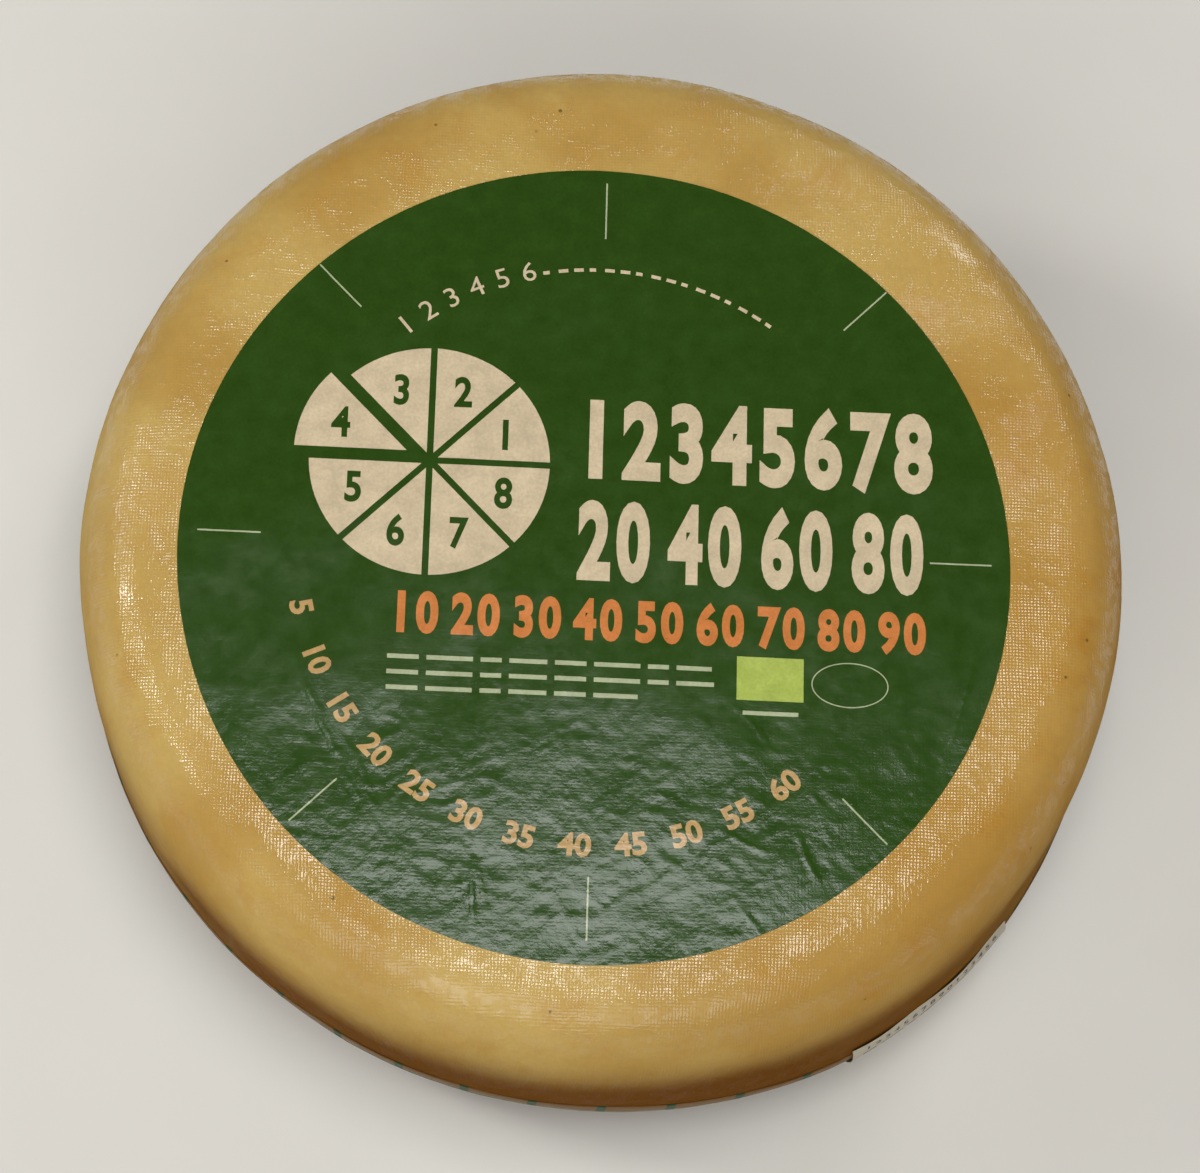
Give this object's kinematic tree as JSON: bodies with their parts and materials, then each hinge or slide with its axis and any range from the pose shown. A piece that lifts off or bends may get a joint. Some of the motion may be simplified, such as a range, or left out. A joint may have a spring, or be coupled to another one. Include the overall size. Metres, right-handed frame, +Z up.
{
  "type": "cheese wheel",
  "caption": "Whole gouda-type cheese wheel with a round paper label on its top face and a paper band and sticker round its bulging side.",
  "frame": {"origin": "centre of the flat bottom face that the wheel rests on", "axes": "+Z up along the wheel's axis, +Y the way the top label reads upwards, +X to the label's right"},
  "size_m": [0.261, 0.261, 0.0943],
  "materials": {
    "rind": "satin, cloth-imprinted plastic cheese coating over a golden rind",
    "label_paper": "dark green print with a light varnish, wrinkled",
    "band_paper": "dark green print, matt",
    "sticker_paper": "plain off-white thermal paper"
  },
  "bodies": {
    "root": {"cheese_wheel": "rind", "top_label": "label_paper", "side_band": "band_paper", "side_sticker": "sticker_paper"}
  },
  "joints": []
}
